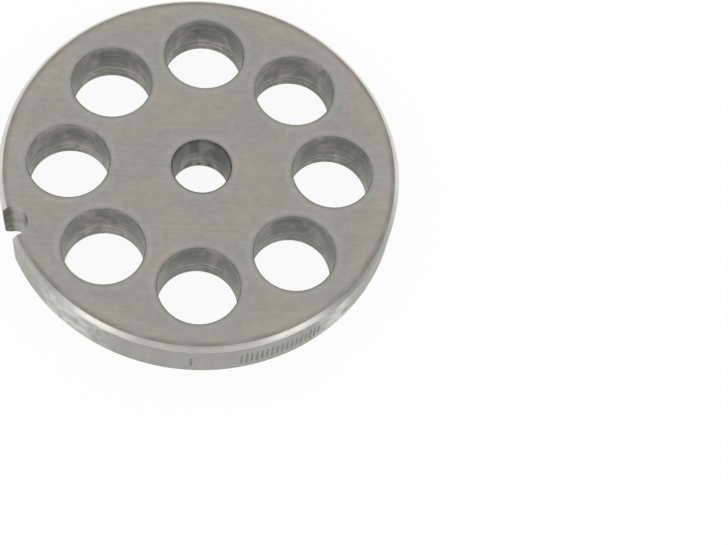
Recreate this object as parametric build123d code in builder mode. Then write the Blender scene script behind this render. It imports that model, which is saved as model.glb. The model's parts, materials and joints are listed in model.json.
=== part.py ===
# Meat grinder plate: the flat steel disc that the knife of a meat mincer turns against.
# It is one piece, turned from bar, ground flat on both faces, drilled and slotted.
#
# Millimetres. The origin is the centre of the lower face. +Z is the axis of the bore and
# points out of the upper face. The key notch is cut into the rim on the -X side.

import os

from build123d import *

# Disc
plate_diameter = 82.0
plate_thickness = 11.0
rim_chamfer = 1.0

# Bore, in which the stud on the end of the feed screw turns
bore_diameter = 12.0
bore_chamfer = 0.2

# Meat holes, in one ring about the bore
hole_count = 8
hole_diameter = 16.5
hole_ring_diameter = 54.0
hole_ring_turn = 1.6  # how far round the ring stands from having the notch midway between two holes
hole_edge_break = 0.15  # takes off the burr and leaves an edge that still cuts

# Key notch, which fits over the locating pin in the mouth of the grinder's head
notch_angle = 180.0
notch_width = 6.5
notch_depth = 4.2

plate_radius = plate_diameter / 2
bore_radius = bore_diameter / 2
notch_radius = notch_width / 2

# The first meat hole is half a pitch on from the notch, and a little more.
first_hole_angle = notch_angle + 360 / hole_count / 2 + hole_ring_turn

# The notch's round end is centred here, and its straight sides run out past the rim.
notch_centre = plate_radius - notch_depth + notch_radius
notch_mouth = plate_radius + notch_radius

with BuildPart() as grinder_plate:
    # The turned blank: half of the disc's section, from the bore to the rim, revolved.
    with BuildSketch(Plane.XZ) as section:
        with Locations(((bore_radius + plate_radius) / 2, plate_thickness / 2)):
            Rectangle(plate_radius - bore_radius, plate_thickness)
        corners = section.vertices().group_by(Axis.X)
        chamfer(corners[0], bore_chamfer)
        chamfer(corners[-1], rim_chamfer)
    revolve(axis=Axis.Z)

    # The meat holes, drilled right through, with a fine break at both ends of each.
    with PolarLocations(hole_ring_diameter / 2, hole_count, start_angle=first_hole_angle):
        Hole(hole_diameter / 2)
    chamfer(grinder_plate.edges(Select.NEW), hole_edge_break)

    # The key notch, a slot with a round end, cut through the full thickness.
    with BuildSketch() as notch:
        with PolarLocations(notch_centre, 1, start_angle=notch_angle):
            Circle(notch_radius)
        with PolarLocations((notch_centre + notch_mouth) / 2, 1, start_angle=notch_angle):
            Rectangle(notch_mouth - notch_centre, notch_width)
    extrude(amount=plate_thickness, mode=Mode.SUBTRACT)

grinder_plate.part.label = "grinder_plate"

os.makedirs("parts", exist_ok=True)
export_step(grinder_plate.part, "parts/grinder_plate.step")
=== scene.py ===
import json
from math import atan2, cos, hypot, pi, radians, sin, tan

import bmesh
import bpy
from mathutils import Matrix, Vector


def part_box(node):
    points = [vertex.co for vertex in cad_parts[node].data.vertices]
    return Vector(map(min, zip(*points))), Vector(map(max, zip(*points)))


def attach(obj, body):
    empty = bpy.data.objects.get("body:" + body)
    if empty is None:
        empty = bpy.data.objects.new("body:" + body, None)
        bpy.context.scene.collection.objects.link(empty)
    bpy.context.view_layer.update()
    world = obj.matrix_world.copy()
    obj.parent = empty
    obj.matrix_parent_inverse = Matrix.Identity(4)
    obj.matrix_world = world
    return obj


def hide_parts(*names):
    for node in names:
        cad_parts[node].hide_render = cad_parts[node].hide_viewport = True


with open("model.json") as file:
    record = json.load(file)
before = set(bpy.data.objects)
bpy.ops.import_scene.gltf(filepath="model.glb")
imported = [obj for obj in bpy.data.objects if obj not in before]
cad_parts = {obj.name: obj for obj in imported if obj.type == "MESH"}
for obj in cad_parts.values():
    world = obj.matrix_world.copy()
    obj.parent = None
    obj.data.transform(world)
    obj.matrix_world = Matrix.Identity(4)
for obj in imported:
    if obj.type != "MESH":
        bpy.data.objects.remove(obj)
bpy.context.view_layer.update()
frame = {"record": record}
record = frame["record"]

mm = 0.001
scene = bpy.context.scene


# Node trees, and the sums that are written on their sockets


class Socket:
    def __init__(self, tree, link):
        self.tree = tree
        self.link = link

    def __add__(self, other):
        return self.tree.maths("ADD", self, other)

    def __sub__(self, other):
        return self.tree.maths("SUBTRACT", self, other)

    def __mul__(self, other):
        return self.tree.maths("MULTIPLY", self, other)

    def __pow__(self, other):
        return self.tree.maths("POWER", self, other)

    def __gt__(self, other):
        return self.tree.maths("GREATER_THAN", self, other)

    def __lt__(self, other):
        return self.tree.maths("LESS_THAN", self, other)

    def __radd__(self, other):
        return self.tree.maths("ADD", other, self)

    def __rsub__(self, other):
        return self.tree.maths("SUBTRACT", other, self)

    def __rmul__(self, other):
        return self.tree.maths("MULTIPLY", other, self)

    def __abs__(self):
        return self.tree.maths("ABSOLUTE", self)

    def clamped(self):
        return self.tree.add("ShaderNodeClamp", {}, [self, 0, 1])


class Tree:
    def __init__(self, nodeTree):
        self.nodeTree = nodeTree
        self.last = None

    def add(self, kind, settings=(), inputs=(), output=0):
        # The settings come first, because they can change which sockets a node has.
        node = self.nodeTree.nodes.new(kind)
        for name, value in dict(settings).items():
            setattr(node, name, value)
        pairs = inputs.items() if isinstance(inputs, dict) else enumerate(inputs)
        for name, value in pairs:
            self.feed(node.inputs[name], value)
        self.last = node
        if isinstance(output, int):
            shown = [socket for socket in node.outputs if socket.enabled]
            return Socket(self, shown[output]) if shown else None
        return Socket(self, node.outputs[output])

    def maths(self, operation, *values):
        return self.add("ShaderNodeMath", {"operation": operation}, values)

    def feed(self, socket, value):
        if isinstance(value, Socket):
            self.nodeTree.links.new(value.link, socket)
        elif isinstance(value, list):
            for one in value:
                self.feed(socket, one)
        elif value is not None:
            socket.default_value = value


def linear(colour):
    # A colour as a paint program gives it, 0 to 255, made linear.
    parts = [v / 255 for v in colour]
    return tuple(((v + 0.055) / 1.055) ** 2.4 if v > 0.04045 else v / 12.92 for v in parts)


def rgba(colour):
    return (*linear(colour), 1)


def step(tree, value, start, end):
    # 0 before the start, 1 past the end, and smooth between them.
    return tree.add("ShaderNodeMapRange", {"interpolation_type": "SMOOTHSTEP"}, {
        "Value": value, "From Min": start, "From Max": end, "To Min": 0.0, "To Max": 1.0}, "Result")


def fall(tree, value, start, end):
    # The other way round: 1 before the start and 0 past the end.
    return 1 - step(tree, value, start, end)


def patch(tree, away, half, core):
    # 1 in the core of a patch, which is a share of half its width, and 0 past its edge.
    return fall(tree, away, half * core, half)


def swing(texture, amount):
    # A noise made to go up and down about 0.
    return (texture - 0.5) * amount


def blend(tree, factor, first, second):
    mixer = {"data_type": "RGBA", "blend_type": "MIX", "clamp_factor": True}
    tree.add("ShaderNodeMix", mixer, {0: factor, 6: first, 7: second})
    return Socket(tree, tree.last.outputs[2])


def dim(tree, colour, amount):
    # Multiplies a colour by a number that changes over the surface.
    return tree.add("ShaderNodeVectorMath", {"operation": "SCALE"}, {"Vector": colour, "Scale": amount})


def noise(tree, place, size, detail=3.0, rough=0.5, turn=0.0):
    # The size is in cells per metre, one number or three.
    size = size if isinstance(size, tuple) else (size, size, size)
    place = tree.add("ShaderNodeMapping", {}, {"Vector": place, "Rotation": (0, 0, radians(-turn))})
    place = tree.add("ShaderNodeMapping", {}, {"Vector": place, "Scale": size})
    return tree.add("ShaderNodeTexNoise", {}, {
        "Vector": place, "Scale": 1.0, "Detail": detail, "Roughness": rough})


# Camera

view = {
    "place": (-66.99, -153.75, 318.82),  # mm
    "turn": (25.13, -7.07, -21.96),  # degrees, about X, Y and Z
    "lens": 83.98,
    "sensor": 36.0,
    "nearest": 10.0,  # mm
}


def makeCamera():
    data = bpy.data.cameras.new("camera")
    data.lens = view["lens"]
    data.sensor_width = view["sensor"]
    data.clip_start = view["nearest"] * mm
    camera = bpy.data.objects.new("camera", data)
    camera.location = [v * mm for v in view["place"]]
    camera.rotation_euler = [radians(v) for v in view["turn"]]
    scene.collection.objects.link(camera)
    scene.camera = camera


makeCamera()
print("camera: set")


# Sizes of the plate

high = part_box("grinder_plate")[1]
openings = record["physics"]["openings"]
holeBoxes = [o["box_m"] for o in openings if o["name"].startswith("meat_hole")]
holeCentres = {(round((a[0] + b[0]) / 2, 4), round((a[1] + b[1]) / 2, 4)) for a, b in holeBoxes}
firstCentre = min(holeCentres)

plate = {  # in mm, where nothing else is said
    "rimRadius": high.x / mm,
    "thickness": high.z / mm,
    "rimChamfer": 1.0,
    "rimRound": 0.3,
    "boreRadius": 6.0,
    "boreChamfer": 0.2,
    "holeCount": len(holeCentres),
    "holeRing": hypot(*firstCentre) / mm,
    "firstHole": atan2(firstCentre[1], firstCentre[0]),  # radians about Z
    "holeRadius": 8.25,
    "edgeBreak": 0.15,
    "notchWidth": 6.5,
    "notchDepth": 4.2,
    "ripples": ((0.008, 9.0), (0.006, 23.0)),  # in the drilled walls: how deep, and radians per mm up
    "allowance": 1.0,  # how far a cutter stands out of what it cuts
    "rimSteps": 900,
    "roundSteps": 5,
    "wallRows": 24,
    "holeSteps": 128,
    "boreSteps": 96,
    "drillRows": 28,
    "notchSteps": 32,
}


# Finishes of the steel


def startMaterial(name):
    material = bpy.data.materials.new(name)
    material.use_nodes = True
    material.node_tree.nodes.clear()
    tree = Tree(material.node_tree)
    return material, tree, tree.add("ShaderNodeTexCoord", {}, {}, "Object")


def endMaterial(tree, shader):
    tree.add("ShaderNodeOutputMaterial", {}, {"Surface": shader})


def metal(tree, colour, roughness, normal=None):
    endMaterial(tree, tree.add("ShaderNodeBsdfPrincipled", {}, {
        "Base Color": colour, "Metallic": 1.0, "Roughness": roughness, "Normal": normal}))


def millimetres(tree, place):
    # X, Y and Z of a point on the part, and how far it is from the part's axis.
    tree.add("ShaderNodeSeparateXYZ", {}, {"Vector": place})
    x, y, z = [Socket(tree, socket) * 1000 for socket in tree.last.outputs]
    return x, y, z, (x * x + y * y) ** 0.5


def fromHole(tree, x, y, r):
    # How far a point is from the wall of the nearest meat hole, in mm.
    pitch = 2 * pi / plate["holeCount"]
    side = tree.maths("WRAP", tree.maths("ARCTAN2", y, x) - plate["firstHole"], pitch / 2, -pitch / 2)
    across = r * tree.maths("SINE", side)
    along = r * tree.maths("COSINE", side) - plate["holeRing"]
    return (across * across + along * along) ** 0.5 - plate["holeRadius"]


def angleFrom(tree, x, y, towards):
    # The angle about Z, in radians, between a point and a direction that is given in degrees.
    return abs(tree.maths("WRAP", tree.maths("ARCTAN2", y, x) - radians(towards), pi, -pi))


face = {  # a pair is where a change starts and where it ends, in mm or as a level of the noise
    "green": (156, 155, 147),
    "rose": (160, 154, 146),
    "burnish": (124, 122, 108),  # painted shade and painted dark reflection: the dark lines at its edges
    "roughness": 0.36,
    "grainAngle": -22.0,  # degrees, the way the surface grinder ran
    "grainSize": (50, 3600, 50),
    "grainLight": 0.28,
    "bump": 0.2,
    "bumpDepth": 0.02,  # mm
    "speckSize": 700,
    "speckLight": 0.26,
    "cloudSize": 90,
    "cloudLight": 0.1,
    "latheSize": 2200,
    "latheLight": 0.06,
    "roseFrom": (0.4, 0.6),
    "greenReach": (1.2, 4.2),  # the greener metal beside a hole
    "boreGreen": 0.6,  # how much of it there is beside the bore
    "greenPull": 0.22,
    "roseShift": 0.08,  # more rose where this is higher
    "haloMiddle": 1.1,  # a pale line round a hole
    "haloReach": (0.1, 0.9),
    "haloLight": 0.06,
    "lipReach": (0.1, 0.8),  # painted shade: a dark line at a hole's edge
    "boreLipReach": (0.2, 0.7),
    "boreLip": 1.6,  # how much stronger it is at the bore
    "lipWorn": (0.3, 0.3),  # at least, and how much more where the noise is high
    "bandStart": (36.0, 37.4),  # a pale band near the rim
    "bandEnd": (38.4, 39.4),
    "bandLight": 0.05,
    "bandLathe": 0.14,
    "lineStart": (38.9, 39.6),  # a painted dark reflection: the dark line inside the rim's chamfer
    "lineWorn": (0.15, 0.45),  # the same
    "lineEnd": (39.6, 40.0),
    "lineEndWorn": 0.3,
    "wornSize": 170,
    "wornFrom": (0.35, 0.65),
}


def groundSteel():
    material, tree, place = startMaterial("groundFace")
    x, y, _, r = millimetres(tree, place)
    grain = noise(tree, place, face["grainSize"], detail=4.0, rough=0.65, turn=face["grainAngle"])
    cloud = noise(tree, place, face["cloudSize"], detail=2.0)
    speck = noise(tree, place, face["speckSize"])
    outwards = tree.add("ShaderNodeCombineXYZ", {}, {"X": r * mm})
    lathe = noise(tree, outwards, face["latheSize"], detail=2.0)
    hole = fromHole(tree, x, y, r)
    bore = r - plate["boreRadius"]

    green = fall(tree, hole, *face["greenReach"]) + fall(tree, bore, *face["greenReach"]) * face["boreGreen"]
    rose = step(tree, cloud + face["roseShift"] - green * face["greenPull"], *face["roseFrom"])
    colour = blend(tree, rose, rgba(face["green"]), rgba(face["rose"]))

    halo = fall(tree, abs(hole - face["haloMiddle"]), *face["haloReach"])
    halo = halo + fall(tree, abs(bore - face["haloMiddle"]), *face["haloReach"])
    band = step(tree, r, *face["bandStart"]) * fall(tree, r, *face["bandEnd"])
    rings = swing(lathe, face["latheLight"] + band * face["bandLathe"])
    light = 1 + swing(grain, face["grainLight"]) + swing(speck, face["speckLight"])
    light = light + swing(cloud, face["cloudLight"])
    light = light + halo * face["haloLight"] + band * face["bandLight"] + rings

    # The dark lines at the edges are painted: painted shade at the holes' edges, and a painted dark
    # reflection inside the rim's chamfer.
    uneven = step(tree, noise(tree, place, face["wornSize"], rough=0.6), *face["wornFrom"])
    lip = fall(tree, hole, *face["lipReach"]) + fall(tree, bore, *face["boreLipReach"]) * face["boreLip"]
    least, more = face["lineWorn"]
    line = step(tree, r, *face["lineStart"]) * (least + uneven * more)
    line = line + step(tree, r, *face["lineEnd"]) * face["lineEndWorn"]
    least, more = face["lipWorn"]
    paintedEdgeMask = (line + lip * (least + uneven * more)).clamped()
    colour = blend(tree, paintedEdgeMask, dim(tree, colour, light), rgba(face["burnish"]))
    bump = tree.add("ShaderNodeBump", {}, {
        "Strength": face["bump"], "Distance": face["bumpDepth"] * mm, "Height": grain})
    metal(tree, colour, face["roughness"], bump)
    return material


chamfer = {
    "colour": (216, 215, 207),
    "roughness": 0.3,
    "patchSize": 260,
    "patchLight": 0.4,
    "fineSize": 1500,
    "fineLight": 0.1,
    "innerWidth": 0.5,  # mm, of its darker inner edge, a painted dark reflection
    "innerDark": 0.2,
    "dull": ((-51, 30, 0.32), (-165, 14, 0.12), (-112, 12, 0.05)),  # painted shade round the lamps' highlights: degrees about Z, half width, how dark
}


def chamferSteel():
    material, tree, place = startMaterial("chamferedEdge")
    x, y, _, r = millimetres(tree, place)
    patches = noise(tree, place, chamfer["patchSize"])
    fine = noise(tree, place, chamfer["fineSize"], detail=2.0)
    inner = plate["rimRadius"] - plate["rimChamfer"]
    light = 1 + swing(patches, chamfer["patchLight"]) + swing(fine, chamfer["fineLight"])
    # Its inner edge is darkened: a painted dark reflection, the same line as on the face.
    light = light - fall(tree, r, inner, inner + chamfer["innerWidth"]) * chamfer["innerDark"]
    # Painted shade at set angles round the lamps' highlights.
    for towards, spread, shadeDepth in chamfer["dull"]:
        light = light - patch(tree, angleFrom(tree, x, y, towards), radians(spread), core=0.3) * shadeDepth
    metal(tree, dim(tree, linear(chamfer["colour"]), light), chamfer["roughness"])
    return material


rim = {
    "colour": (158, 157, 149),
    "rubbedColour": (218, 219, 216),
    "roughness": 0.42,
    "grainSize": (420, 420, 25),
    "grainLight": 0.3,
    "patchSize": 240,
    "patchLight": 0.3,
    "smearSize": 330,
    "rubbed": 0.85,  # how much of the pale colour there is at most, real rubbing and painted lamp light
    "rubbedFrom": (0.62, 0.85),
    "rubbedRound": 0.4,  # how much of that there is all round
    "scuffs": ((-149, 9), (-67, 5)),  # painted pools of lamp light, where it is palest: degrees about Z, half width
    "scuffFrom": (0.3, 0.68),
    "scuffFade": (0.4, 1.9),  # shares of half the width
    "footTop": (1.0, 2.2),  # mm up the wall, of its darker foot
    "footDark": 0.1,
    "dull": ((-28, 26, 0.3),),  # painted shade on one side: degrees about Z, half width, how dark
    "dullTop": (3.0, 8.5),  # mm up the wall, where the painted shade ends
    "nicks": ((-64.0, 4.0, 2.0), (-44.5, 8.5, 1.5)),  # degrees about Z, mm up, radius in mm
    "nickColour": (124, 122, 108),
    "nickDark": 0.85,
    "nickLean": 0.4,
    "nickNarrow": 3.0,
    "nickRagged": 1.2,  # mm
}


def rimSteel():
    material, tree, place = startMaterial("turnedRim")
    x, y, z, _ = millimetres(tree, place)
    grain = noise(tree, place, rim["grainSize"], rough=0.6)
    patches = noise(tree, place, rim["patchSize"], rough=0.6)
    smear = noise(tree, place, rim["smearSize"], detail=4.0, rough=0.65)

    # Pale patches: rubbing at random all round, and painted pools of lamp light on the two lamp sides.
    rubbed = step(tree, smear, *rim["rubbedFrom"]) * rim["rubbedRound"]
    for towards, spread in rim["scuffs"]:
        start, end = [radians(spread * share) for share in rim["scuffFade"]]
        near = fall(tree, angleFrom(tree, x, y, towards), start, end)
        rubbed = rubbed + near * step(tree, smear, *rim["scuffFrom"])

    light = 1 + swing(grain, rim["grainLight"]) + swing(patches, rim["patchLight"])
    light = light - fall(tree, z, *rim["footTop"]) * rim["footDark"]
    # Painted shade on one side of the wall, towards the bottom.
    for towards, spread, shadeDepth in rim["dull"]:
        near = patch(tree, angleFrom(tree, x, y, towards), radians(spread), core=0.5)
        light = light - near * fall(tree, z, *rim["dullTop"]) * shadeDepth
    colour = dim(tree, linear(rim["colour"]), light)
    colour = blend(tree, rubbed * rim["rubbed"], colour, rgba(rim["rubbedColour"]))

    for towards, height, size in rim["nicks"]:
        # A narrow spot that leans, with a ragged edge.
        along = angleFrom(tree, x, y, towards) * plate["rimRadius"]
        upward = z - height
        across = along + upward * rim["nickLean"]
        apart = (across * across * rim["nickNarrow"] + upward * upward) ** 0.5
        nick = patch(tree, apart + swing(smear, rim["nickRagged"]), size, core=0.3) * rim["nickDark"]
        colour = blend(tree, nick, colour, rgba(rim["nickColour"]))
    metal(tree, colour, rim["roughness"])
    return material


wall = {
    "olive": (114, 116, 105),
    "brown": (131, 127, 119),
    "boreOlive": (90, 90, 81),
    "roughness": 0.42,
    "light": 0.96,
    "mouth": (1.4, 0.1),  # mm below the upper face, where it starts and where it is full
    "mouthLight": 0.3,
    "boreMouthLight": -0.1,
    "soleTop": (0.2, 0.8),  # mm up the wall
    "soleDark": 0.1,
    "wanderSize": (120, 120, 10),
    "wander": 2.2,  # mm, how far the rings stray up and down
    "footTop": (3.4, 4.6),  # mm up the wall
    "footLight": 0.22,
    # Rings in the foot: mm up the wall, half width, light.
    "footRings": ((3.5, 0.5, 0.16), (2.7, 0.35, -0.26), (2.0, 0.35, 0.2), (1.3, 0.35, -0.16)),
    "notchLight": ((36.6, 37.6, 0.75), (38.6, 39.8, -1.05)),  # painted light and painted shade on the notch's walls; mm from the axis: start, end, light
    "cloudSize": (230, 230, 160),
    "cloudLight": 0.8,
    "brownFrom": (0.48, 0.62),
    "streakSize": (420, 420, 50),
    "streakLight": 0.3,
    "dirtSize": (150, 150, 330),
    "dirtFrom": (0.5, 0.62),
    "dirtDark": 0.16,
    "gritSize": (900, 900, 1100),
    "gritLight": 0.7,
    "gritAbove": 0.5,  # how much of it there is above the foot
    "ringPitch": (0.03, 0.03, 1.1),  # cells per mm
    "ringLight": 0.5,
    "fineSize": (60, 60, 4200),
    "bump": 0.7,
    "bumpDepth": 0.12,  # mm
    "bumpShares": (0.6, 0.4),  # of the rings and of the fine lines
}


def drilledSteel(name, olive, brown, mouthLight):
    # A drilled wall: darker above, then a brighter foot, a painted reflection of the pale floor below, with
    # turned rings in it.
    material, tree, place = startMaterial(name)
    x, y, z, r = millimetres(tree, place)
    height = z + swing(noise(tree, place, wall["wanderSize"], detail=2.0), wall["wander"])
    cloud = noise(tree, place, wall["cloudSize"], rough=0.6)
    streak = noise(tree, place, wall["streakSize"], rough=0.6)
    dirt = noise(tree, place, wall["dirtSize"], rough=0.6)
    grit = noise(tree, place, wall["gritSize"], detail=2.0, rough=0.6)
    fine = noise(tree, place, wall["fineSize"], detail=2.0, rough=0.6)
    stacked = [axis * pitch for axis, pitch in zip((x, y, height), wall["ringPitch"])]
    rings = noise(tree, tree.add("ShaderNodeCombineXYZ", {}, stacked), 1, detail=2.0)

    # The brighter foot is a painted reflection of the pale floor below.
    foot = fall(tree, height, *wall["footTop"])
    light = wall["light"] + foot * wall["footLight"]
    # Painted light and painted shade on the notch's walls.
    for start, end, gain in wall["notchLight"]:
        light = light + step(tree, r, start, end) * gain
    for middle, half, gain in wall["footRings"]:
        light = light + patch(tree, abs(height - middle), half, core=0.3) * gain
    light = light + step(tree, z, *[plate["thickness"] - below for below in wall["mouth"]]) * mouthLight
    light = light - fall(tree, z, *wall["soleTop"]) * wall["soleDark"]
    light = light - step(tree, dirt, *wall["dirtFrom"]) * (1 - foot) * wall["dirtDark"]
    light = light + swing(rings, wall["ringLight"]) + swing(cloud, wall["cloudLight"])
    light = light + swing(streak, wall["streakLight"])
    light = light + swing(grit, wall["gritLight"]) * (wall["gritAbove"] + foot)

    colour = blend(tree, step(tree, cloud, *wall["brownFrom"]), rgba(olive), rgba(brown))
    ringShare, fineShare = wall["bumpShares"]
    bump = tree.add("ShaderNodeBump", {}, {
        "Strength": wall["bump"], "Distance": wall["bumpDepth"] * mm,
        "Height": rings * ringShare + fine * fineShare})
    metal(tree, dim(tree, colour, light), wall["roughness"], bump)
    return material


stamp = {"colour": (132, 132, 124), "roughness": 0.42, "fineSize": 900, "fineLight": 0.2}


def stampedSteel():
    material, tree, place = startMaterial("stampedMark")
    light = 1 + swing(noise(tree, place, stamp["fineSize"]), stamp["fineLight"])
    metal(tree, dim(tree, linear(stamp["colour"]), light), stamp["roughness"])
    return material


groundFace = groundSteel()
chamferedEdge = chamferSteel()
turnedRim = rimSteel()
drilledWall = drilledSteel("drilledWall", wall["olive"], wall["brown"], wall["mouthLight"])
boredWall = drilledSteel("boredWall", wall["boreOlive"], wall["olive"], wall["boreMouthLight"])
stampedMark = stampedSteel()
print("finishes: made")


# The plate

marks = {  # in mm, where nothing else is said
    "count": 18,
    "start": -98.2,  # degrees about Z, of the first stroke
    "pitch": 1.5,  # degrees
    "loneSide": -112.3,  # degrees about Z, of a stroke by itself
    "middle": 0.47,  # share of the plate's thickness
    "height": 5.6,
    "width": 0.6,
    "depth": 0.14,
    "reach": 0.4,  # how far the cutter stands out of the rim
    # Rows of the cutter, as shares of half the height and of the depth.
    "rows": ((-1, -0.3), (-0.7, 0.8), (-0.45, 1), (0.45, 1), (0.7, 0.8), (1, -0.3)),
    "lengths": (0.72, 1.1),  # the shortest and the longest, as shares of the height
    "seed": 5,
}

edges = {
    "flat": 0.999,  # how upright the normal of a flat face is at least
    "ground": 0.9,  # the same for a face that has the ground steel
    "slanting": 0.4,  # and for one that has the chamfer's
    "chamferReach": 1.05,  # mm inwards from the rim
    "smoothBelow": 24.0,  # degrees
}


def skin(name, rows, material, closed=False):
    # Joins rows of points, each a loop, to a solid. A closed one turns back to its first row,
    # and an open one is capped at both ends.
    mesh = bpy.data.meshes.new(name)
    shape = bmesh.new()
    loops = [[shape.verts.new([v * mm for v in point]) for point in row] for row in rows]
    pairs = list(zip(loops, loops[1:]))
    if closed:
        pairs.append((loops[-1], loops[0]))
    else:
        shape.faces.new(loops[0])
        shape.faces.new(loops[-1])
    for under, over in pairs:
        for k in range(len(under)):
            after = (k + 1) % len(under)
            shape.faces.new((under[k], under[after], over[after], over[k]))
    bmesh.ops.recalc_face_normals(shape, faces=shape.faces)
    shape.to_mesh(mesh)
    shape.free()
    mesh.materials.append(material)
    return bpy.data.objects.new(name, mesh)


def turned(name, profile, steps, material, closed=False):
    # Spins a list of (radius, height) points about Z.
    turns = [2 * pi * k / steps for k in range(steps)]
    rows = [[(radius * cos(t), radius * sin(t), height) for t in turns] for radius, height in profile]
    return skin(name, rows, material, closed)


def arc(x, z, radius, start, end):
    # Points of a rounding in a profile, from one angle to another in degrees.
    steps = plate["roundSteps"]
    angles = [radians(start + (end - start) * k / steps) for k in range(steps + 1)]
    return [(x + radius * cos(a), z + radius * sin(a)) for a in angles]


def blankProfile():
    outer, thick = plate["rimRadius"], plate["thickness"]
    soft, rows = plate["rimRound"], plate["wallRows"]
    inner = plate["boreRadius"] - plate["allowance"]
    low = plate["rimChamfer"] + soft * tan(radians(22.5))  # where the rounding ends
    points = [(inner, thick), (inner, 0)]
    points += arc(outer - low, soft, soft, -90, -45)
    points += arc(outer - soft, low, soft, -45, 0)
    points += [(outer, low + (thick - 2 * low) * k / rows) for k in range(1, rows)]
    points += arc(outer - soft, thick - low, soft, 0, 45)
    points += arc(outer - low, thick - soft, soft, 45, 90)
    return points


def drillProfile(radius, edge):
    thick, past, rows = plate["thickness"], plate["allowance"], plate["drillRows"]
    points = [(radius + edge + past, -past), (radius, edge)]
    for k in range(1, rows):
        height = edge + (thick - 2 * edge) * k / rows
        ripple = sum(depth * sin(height * rate) for depth, rate in plate["ripples"])
        points.append((radius + ripple, height))
    points += [(radius, thick - edge), (radius + edge + past, thick + past)]
    return points


def notchCutter():
    # The slot with a round end, cut into the rim on the -X side.
    radius, steps, past = plate["notchWidth"] / 2, plate["notchSteps"], plate["allowance"]
    centre = -(plate["rimRadius"] - plate["notchDepth"] + radius)
    mouth = -(plate["rimRadius"] + radius)
    turns = [pi * k / steps for k in range(steps + 1)]
    outline = [(centre + radius * sin(t), radius * cos(t)) for t in turns]
    outline += [(mouth, -radius), (mouth, radius)]
    rows = [[(x, y, height) for x, y in outline] for height in (-past, plate["thickness"] + past)]
    return skin("notchCutter", rows, drilledWall)


def strokeCutter():
    # A plain upright stroke, V-shaped across and running out at both ends. It stands at the origin.
    reach = marks["reach"]
    half = marks["width"] / 2 * (1 + reach / marks["depth"])
    tall = marks["height"] / 2
    rows = []
    for height, deep in marks["rows"]:
        corners = [(-marks["depth"] * deep, 0), (reach, -half), (reach, half)]
        rows.append([(x, y, height * tall) for x, y in corners])
    return skin("strokeCutter", rows, stampedMark)


treeInputs = {
    "Geometry": ("Blank",),
    "Object": ("Meat Drill", "Bore Drill", "Notch Cutter", "Stroke Cutter"),
    "Int": ("Hole Count", "Stroke Count", "Stroke Seed"),
    "Float": ("Ring Radius", "First Hole", "Rim Radius", "Chamfer Reach", "Smooth Angle",
              "Stroke Start", "Stroke Pitch", "Lone Stroke", "Stroke Height", "Shortest", "Longest"),
    "Material": ("Face Steel", "Chamfer Steel"),
}


def startPlateTree():
    nodeTree = bpy.data.node_groups.new("cutPlate", "GeometryNodeTree")
    sockets = nodeTree.interface
    sockets.new_socket("Geometry", in_out="OUTPUT", socket_type="NodeSocketGeometry")
    for kind, names in treeInputs.items():
        for name in names:
            sockets.new_socket(name, in_out="INPUT", socket_type="NodeSocket" + kind)
    tree = Tree(nodeTree)
    tree.add("NodeGroupInput")
    return tree, {s.name: Socket(tree, s) for s in tree.last.outputs if s.name}


def shapeOf(tree, given, name):
    return tree.add("GeometryNodeObjectInfo", {}, {"Object": given[name]}, "Geometry")


def copies(tree, inputs):
    instances = tree.add("GeometryNodeInstanceOnPoints", {}, inputs)
    return tree.add("GeometryNodeRealizeInstances", {}, {"Geometry": instances})


def holeCutters(tree, given):
    ring = tree.add("GeometryNodeMeshCircle", {"fill_type": "NONE"}, {
        "Vertices": given["Hole Count"], "Radius": given["Ring Radius"]})
    aim = tree.add("ShaderNodeCombineXYZ", {}, {"Z": given["First Hole"]})
    ring = tree.add("GeometryNodeTransform", {}, {"Geometry": ring, "Rotation": aim})
    return copies(tree, {"Points": ring, "Instance": shapeOf(tree, given, "Meat Drill")})


def strokeCutters(tree, given):
    # A row of strokes round the rim, and one more by itself as the last of them.
    index = tree.add("GeometryNodeInputIndex")
    side = given["Stroke Start"] + index * given["Stroke Pitch"]
    alone = index > given["Stroke Count"] - 1.5
    side = side + alone * (given["Lone Stroke"] - side)
    spot = tree.add("ShaderNodeCombineXYZ", {}, {
        "X": given["Rim Radius"] * tree.maths("COSINE", side),
        "Y": given["Rim Radius"] * tree.maths("SINE", side), "Z": given["Stroke Height"]})
    points = tree.add("GeometryNodePoints", {}, {"Count": given["Stroke Count"], "Position": spot})
    length = tree.add("FunctionNodeRandomValue", {"data_type": "FLOAT"}, {
        "Min": given["Shortest"], "Max": given["Longest"], "Seed": given["Stroke Seed"]}, "Value")
    return copies(tree, {
        "Points": points, "Instance": shapeOf(tree, given, "Stroke Cutter"),
        "Rotation": tree.add("ShaderNodeCombineXYZ", {}, {"Z": side}),
        "Scale": tree.add("ShaderNodeCombineXYZ", {}, {"X": 1, "Y": 1, "Z": length})})


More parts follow.
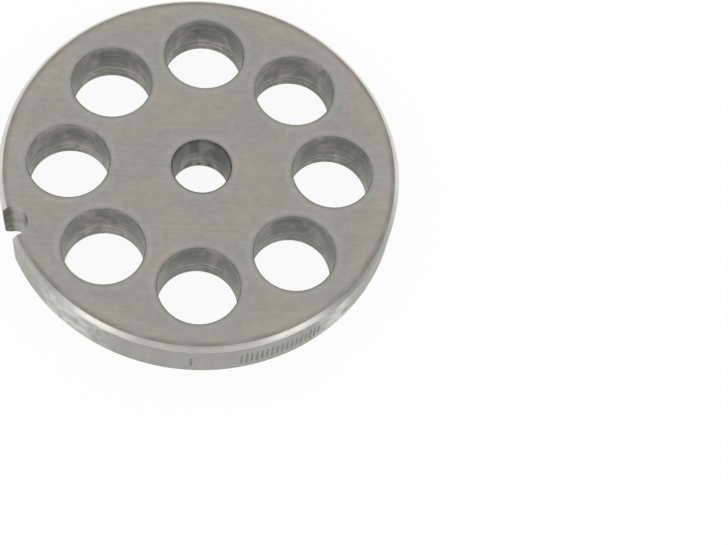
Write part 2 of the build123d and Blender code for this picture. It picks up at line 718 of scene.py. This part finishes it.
def plateTree():
    tree, given = startPlateTree()
    cutters = [holeCutters(tree, given), shapeOf(tree, given, "Bore Drill"),
               shapeOf(tree, given, "Notch Cutter"), strokeCutters(tree, given)]
    cut = tree.add("GeometryNodeMeshBoolean", {"operation": "DIFFERENCE", "solver": "MANIFOLD"}, {
        "Mesh 1": given["Blank"], "Mesh 2": cutters})

    # The two ground faces are flat, and the rest is smooth up to its edges.
    normal = tree.add("GeometryNodeInputNormal")
    upright = abs(tree.add("ShaderNodeSeparateXYZ", {}, {"Vector": normal}, "Z"))
    bend = tree.add("GeometryNodeInputMeshEdgeAngle", {}, {}, "Unsigned Angle")
    cut = tree.add("GeometryNodeSetShadeSmooth", {"domain": "FACE"}, {
        "Geometry": cut, "Shade Smooth": 1 - (upright > edges["flat"])})
    cut = tree.add("GeometryNodeSetShadeSmooth", {"domain": "EDGE"}, {
        "Geometry": cut, "Shade Smooth": bend < given["Smooth Angle"]})

    # The walls keep the steel of what cut them, and the faces and chamfers get their own.
    flattened = tree.add("ShaderNodeVectorMath", {"operation": "MULTIPLY"}, {
        0: tree.add("GeometryNodeInputPosition"), 1: (1, 1, 0)})
    away = tree.add("ShaderNodeVectorMath", {"operation": "LENGTH"}, {0: flattened}, "Value")
    outside = away > given["Rim Radius"] - given["Chamfer Reach"]
    slant = outside * (upright > edges["slanting"]) * (upright < edges["ground"])
    cut = tree.add("GeometryNodeRealizeInstances", {}, {"Geometry": cut})
    cut = tree.add("GeometryNodeSetMaterial", {}, {
        "Geometry": cut, "Selection": upright > edges["ground"], "Material": given["Face Steel"]})
    cut = tree.add("GeometryNodeSetMaterial", {}, {
        "Geometry": cut, "Selection": slant, "Material": given["Chamfer Steel"]})
    tree.add("NodeGroupOutput", {}, {"Geometry": cut})
    return tree.nodeTree


def makePlate():
    holeProfile = drillProfile(plate["holeRadius"], plate["edgeBreak"])
    boreProfile = drillProfile(plate["boreRadius"], plate["boreChamfer"])
    blank = turned("blank", blankProfile(), plate["rimSteps"], turnedRim, closed=True)
    cutters = {
        "Meat Drill": turned("meatDrill", holeProfile, plate["holeSteps"], drilledWall),
        "Bore Drill": turned("boreDrill", boreProfile, plate["boreSteps"], boredWall),
        "Notch Cutter": notchCutter(),
        "Stroke Cutter": strokeCutter(),
    }
    values = {
        **cutters,
        "Hole Count": plate["holeCount"],
        "Ring Radius": plate["holeRing"] * mm,
        "First Hole": plate["firstHole"],
        "Rim Radius": plate["rimRadius"] * mm,
        "Chamfer Reach": edges["chamferReach"] * mm,
        "Smooth Angle": radians(edges["smoothBelow"]),
        "Stroke Count": marks["count"],
        "Stroke Seed": marks["seed"],
        "Stroke Start": radians(marks["start"]),
        "Stroke Pitch": radians(marks["pitch"]),
        "Lone Stroke": radians(marks["loneSide"]),
        "Stroke Height": plate["thickness"] * marks["middle"] * mm,
        "Shortest": marks["lengths"][0],
        "Longest": marks["lengths"][1],
        "Face Steel": groundFace,
        "Chamfer Steel": chamferedEdge,
    }
    scene.collection.objects.link(blank)
    modifier = blank.modifiers.new("cutPlate", "NODES")
    modifier.node_group = plateTree()
    for socket in modifier.node_group.interface.items_tree:
        if socket.name in values:
            modifier[socket.identifier] = values[socket.name]
    seen = blank.evaluated_get(bpy.context.evaluated_depsgraph_get())
    piece = bpy.data.objects.new("cut_plate", bpy.data.meshes.new_from_object(seen))
    scene.collection.objects.link(piece)
    for spare in (blank, *cutters.values()):
        bpy.data.objects.remove(spare)
    return piece


cutPlate = makePlate()
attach(cutPlate, "root")
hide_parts("grinder_plate")
print("plate: cut,", len(cutPlate.data.polygons), "faces,", [m.name for m in cutPlate.data.materials])


# Floor, backdrop and lamps

studio = {
    "floorHalf": 3.0,  # metres
    "floorGrey": 0.9,
    "floorGlow": 0.93,  # share of plain white in the floor by the plate
    "glowReach": (0.04, 0.30),  # metres from the axis, where it starts to grow and where it is all white
    "softLight": 0.8,  # of the backdrop, where it isn't seen but lights what is dull
    "dimSide": -113.0,  # degrees about Z, the middle of the half of the room that is a little darker
    "dimEdge": (-0.3, 0.15),  # where it fades in, as shares of straight to that side
    "dimTop": (0.45, 0.75),  # how high it reaches, as shares of straight up
    "dimLight": 0.6,
    "lampDistance": 0.6,  # metres
    "lampHeight": 24.3,  # degrees
    "lampSides": (-153.5, -68.0),  # degrees about Z
    "lampSize": 0.22,
    "lampPower": 0.17,
}


def grey(level):
    return (level, level, level, 1)


def rayIs(tree, kind):
    return tree.add("ShaderNodeLightPath", {}, {}, f"Is {kind} Ray")


def seenDirectly(tree):
    # 1 for a ray that shows the backdrop, straight or in a reflection.
    return (rayIs(tree, "Camera") + rayIs(tree, "Glossy") + rayIs(tree, "Transmission")).clamped()


def makeFloor():
    half = studio["floorHalf"]
    start, end = studio["glowReach"]
    corners = [(-half, -half, 0), (half, -half, 0), (half, half, 0), (-half, half, 0)]
    mesh = bpy.data.meshes.new("floor")
    mesh.from_pydata(corners, [], [(0, 1, 2, 3)])
    floor = bpy.data.objects.new("floor", mesh)
    scene.collection.objects.link(floor)
    material, tree, place = startMaterial("paleFloor")
    away = tree.add("ShaderNodeVectorMath", {"operation": "LENGTH"}, {0: place}, "Value")
    glow = tree.add("ShaderNodeMapRange", {}, {
        "Value": away, "From Min": start, "From Max": end,
        "To Min": studio["floorGlow"], "To Max": 1.0}, "Result")
    paper = tree.add("ShaderNodeBsdfDiffuse", {}, {"Color": grey(studio["floorGrey"])})
    plain = tree.add("ShaderNodeEmission", {}, {"Color": grey(1), "Strength": 1.0})
    endMaterial(tree, tree.add("ShaderNodeMixShader", {}, [seenDirectly(tree) * glow, paper, plain]))
    mesh.materials.append(material)


def makeWorld():
    world = bpy.data.worlds.new("studio")
    world.use_nodes = True
    world.node_tree.nodes.clear()
    tree = Tree(world.node_tree)
    aim = tree.add("ShaderNodeTexCoord", {}, {}, "Generated")
    rise = tree.add("ShaderNodeSeparateXYZ", {}, {"Vector": aim}, "Z")
    side = radians(studio["dimSide"])
    sideways = tree.add("ShaderNodeVectorMath", {"operation": "DOT_PRODUCT"}, {
        0: aim, 1: (cos(side), sin(side), 0)}, "Value")
    dimmed = step(tree, sideways, *studio["dimEdge"]) * fall(tree, rise, *studio["dimTop"])
    dimmed = dimmed * (1 - studio["dimLight"]) * (1 - rayIs(tree, "Camera"))
    soft = tree.add("ShaderNodeBackground", {}, {"Color": grey(1), "Strength": studio["softLight"]})
    plain = tree.add("ShaderNodeBackground", {}, {"Color": grey(1), "Strength": 1 - dimmed})
    mixed = tree.add("ShaderNodeMixShader", {}, [seenDirectly(tree), soft, plain])
    tree.add("ShaderNodeOutputWorld", {}, {"Surface": mixed})
    scene.world = world


def makeLamp(name, towards):
    data = bpy.data.lights.new(name, "AREA")
    data.shape = "DISK"
    data.size = studio["lampSize"]
    data.energy = studio["lampPower"]
    lamp = bpy.data.objects.new(name, data)
    side, height, distance = radians(towards), radians(studio["lampHeight"]), studio["lampDistance"]
    out, up = distance * cos(height), distance * sin(height)
    lamp.location = (out * cos(side), out * sin(side), up)
    lamp.rotation_euler = (pi / 2 - height, 0, side + pi / 2)
    scene.collection.objects.link(lamp)


makeFloor()
makeWorld()
for number, towards in enumerate(studio["lampSides"], 1):
    makeLamp(f"sideLamp{number}", towards)
scene.view_settings.view_transform = "Standard"
print("studio: set")

bpy.context.view_layer.update()
